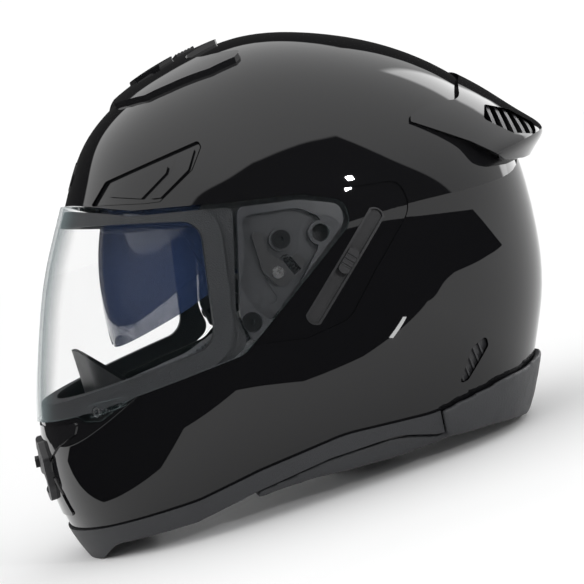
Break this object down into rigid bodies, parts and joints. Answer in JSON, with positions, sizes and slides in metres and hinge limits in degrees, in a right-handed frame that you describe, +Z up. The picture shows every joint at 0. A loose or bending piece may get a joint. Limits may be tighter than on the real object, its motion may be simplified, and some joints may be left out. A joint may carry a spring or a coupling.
{
  "type": "motorcycle helmet",
  "caption": "Full-face motorcycle helmet with a hinged clear face shield, an inner sun visor, sliding vents, padded liner and buckled chin strap.",
  "frame": {"origin": "on the table, under the middle of the helmet's box", "axes": "+Z up, -Y the front of the helmet, +X the wearer's left"},
  "size_m": [0.2556, 0.3572, 0.2755],
  "materials": {
    "gloss_black_shell": "deep gloss black lacquer",
    "clear_shield": "clear polycarbonate, polished",
    "tinted_visor": "blue-grey tinted polycarbonate",
    "black_rubber": "matte soft rubber",
    "dark_plastic": "fine-grained moulded plastic",
    "gloss_plastic": "gloss moulded plastic",
    "grey_mesh": "open moulded mesh",
    "foam": "expanded bead foam, coated dark",
    "knit_fabric": "mottled grey brushed knit",
    "steel": "bright zinc-plated",
    "black_steel": "black oxide",
    "webbing": "woven polyester webbing",
    "red_plastic": "moulded red"
  },
  "bodies": {
    "helmet": {"base_plate_left": "dark_plastic", "base_plate_right": "dark_plastic", "base_plate_screws": "black_steel", "bottom_trim": "black_rubber", "breath_guard": "dark_plastic", "brow_badge": "gloss_plastic", "brow_vent_left": "gloss_plastic", "brow_vent_right": "gloss_plastic", "buckle_body": "steel", "buckle_pin": "steel", "buckle_tongue": "dark_plastic", "cheek_pad_left": "knit_fabric", "cheek_pad_right": "knit_fabric", "chin_curtain": "webbing", "chin_liner": "foam", "chin_vent_hood": "dark_plastic", "chin_vent_mesh": "grey_mesh", "chin_vent_panel": "gloss_plastic", "crown_pad": "knit_fabric", "exhaust_grille_left": "grey_mesh", "exhaust_grille_right": "grey_mesh", "eyeport_gasket": "black_rubber", "impact_liner": "foam", "lever_pins": "steel", "lever_springs": "black_steel", "neck_roll": "black_rubber", "outer_shell": "gloss_black_shell", "rear_spoiler": "gloss_plastic", "shield_lock_posts": "steel", "slider_track": "dark_plastic", "spoiler_ribs": "dark_plastic", "strap_anchors": "steel", "strap_left": "webbing", "strap_right": "webbing", "strap_rivets": "steel", "top_vent_housing": "gloss_plastic", "visor_brackets": "dark_plastic", "visor_pivots": "steel"},
    "face_shield": {"face_shield": "clear_shield", "shield_lift_tab": "clear_shield"},
    "sun_visor": {"sun_visor": "tinted_visor"},
    "visor_slider": {"visor_slider": "dark_plastic"},
    "top_vent_slider": {"top_vent_slider": "dark_plastic"},
    "chin_vent_shutter": {"chin_vent_shutter": "dark_plastic"},
    "release_lever_left": {"release_lever_left": "dark_plastic"},
    "release_lever_right": {"release_lever_right": "dark_plastic"},
    "buckle_lever": {"buckle_lever": "red_plastic"}
  },
  "joints": [
    {"name": "shield_hinge", "type": "hinge", "parent": "helmet", "child": "face_shield", "pos_m": [0, 0.01, 0.148], "axis": [-1, 0, 0], "range_deg": [0, 56]},
    {"name": "sun_visor_hinge", "type": "hinge", "parent": "helmet", "child": "sun_visor", "pos_m": [0, -0.005, 0.16], "axis": [-1, 0, 0], "range_deg": [0, 27]},
    {"name": "visor_slider_slide", "type": "slide", "parent": "helmet", "child": "visor_slider", "axis": [0, -0.749, -0.6626], "range_m": [0, 0.024]},
    {"name": "top_vent_slide", "type": "slide", "parent": "helmet", "child": "top_vent_slider", "axis": [0, 0.9877, 0.1564], "range_m": [0, 0.006]},
    {"name": "chin_vent_slide", "type": "slide", "parent": "helmet", "child": "chin_vent_shutter", "axis": [0, 0.1045, 0.9945], "range_m": [0, 0.004]},
    {"name": "release_hinge_left", "type": "hinge", "parent": "helmet", "child": "release_lever_left", "pos_m": [0.1215, -0.019, 0.134], "axis": [1, 0, 0], "range_deg": [0, 4], "stiffness_Nm_per_rad": 0.05},
    {"name": "release_hinge_right", "type": "hinge", "parent": "helmet", "child": "release_lever_right", "pos_m": [-0.1215, -0.019, 0.134], "axis": [1, 0, 0], "range_deg": [0, 4], "stiffness_Nm_per_rad": 0.05},
    {"name": "buckle_lever_hinge", "type": "hinge", "parent": "helmet", "child": "buckle_lever", "pos_m": [0.015, -0.0055, 0.02], "axis": [0, 1, 0], "range_deg": [0, 35], "stiffness_Nm_per_rad": 0.08}
  ],
  "couplings": [
    {"joint": "visor_slider_slide", "follows": "sun_visor_hinge", "m_per_rad": 0.05093}
  ]
}
